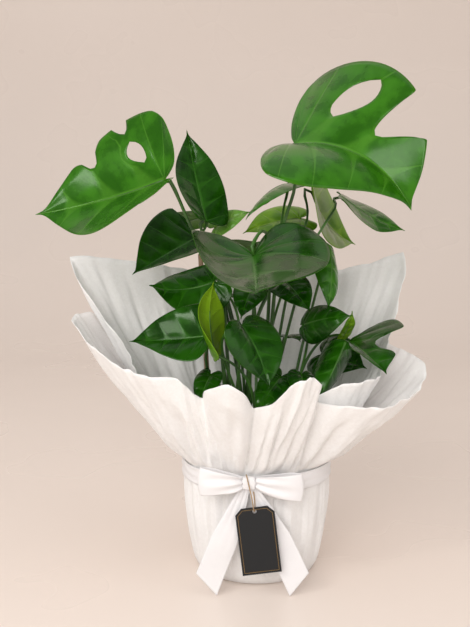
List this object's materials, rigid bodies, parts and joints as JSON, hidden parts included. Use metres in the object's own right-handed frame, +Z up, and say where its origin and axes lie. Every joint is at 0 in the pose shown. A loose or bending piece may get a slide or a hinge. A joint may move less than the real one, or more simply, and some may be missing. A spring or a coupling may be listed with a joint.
{
  "type": "potted swiss cheese plant",
  "caption": "Young swiss cheese plant with split and heart-shaped leaves in a nursery pot, gathered in white wrap with a satin bow and a plain black tag.",
  "frame": {"origin": "centre of the wrapped base, on the surface it stands on", "axes": "+Z up, front with the bow and tag faces -Y, +X to the viewer's right"},
  "size_m": [0.5277, 0.425, 0.7027],
  "materials": {
    "leaf_green": "living leaf, glossy green above and paler below",
    "stalk_green": "living leaf stalks, smooth mid green",
    "white_wrap": "soft white non-woven wrap, matte",
    "white_satin": "white satin ribbon, soft sheen",
    "pot_brown": "thin brown nursery pot plastic",
    "soil": "damp dark potting mix",
    "cane": "dry cane",
    "black_card": "matte black card",
    "twine": "thin tan twine"
  },
  "bodies": {
    "root": {"bow_knot": "white_satin", "bow_loop_left": "white_satin", "bow_loop_right": "white_satin", "bow_tail_left": "white_satin", "bow_tail_right": "white_satin", "leaf_back_centre": "leaf_green", "leaf_back_foot": "leaf_green", "leaf_back_high": "leaf_green", "leaf_back_left": "leaf_green", "leaf_back_low": "leaf_green", "leaf_back_right": "leaf_green", "leaf_behind_left": "leaf_green", "leaf_behind_pale": "leaf_green", "leaf_behind_right": "leaf_green", "leaf_folded": "leaf_green", "leaf_foot_centre": "leaf_green", "leaf_foot_left": "leaf_green", "leaf_hanging": "leaf_green", "leaf_heart": "leaf_green", "leaf_inner_left": "leaf_green", "leaf_inner_low": "leaf_green", "leaf_inner_right": "leaf_green", "leaf_left_high": "leaf_green", "leaf_left_low": "leaf_green", "leaf_left_mid": "leaf_green", "leaf_low_heart": "leaf_green", "leaf_right_dark": "leaf_green", "leaf_right_low": "leaf_green", "leaf_right_mid": "leaf_green", "leaf_right_split": "leaf_green", "leaf_right_young": "leaf_green", "leaf_small_top": "leaf_green", "leaf_top_left": "leaf_green", "leaf_top_right": "leaf_green", "leaf_upright": "leaf_green", "pot": "pot_brown", "ribbon_band": "white_satin", "soil": "soil", "stake": "cane", "stems_back": "stalk_green", "stems_centre": "stalk_green", "stems_front": "stalk_green", "stems_left": "stalk_green", "stems_right": "stalk_green", "tag": "black_card", "tag_string": "twine", "wrap_inner": "white_wrap", "wrap_outer": "white_wrap"}
  },
  "joints": []
}
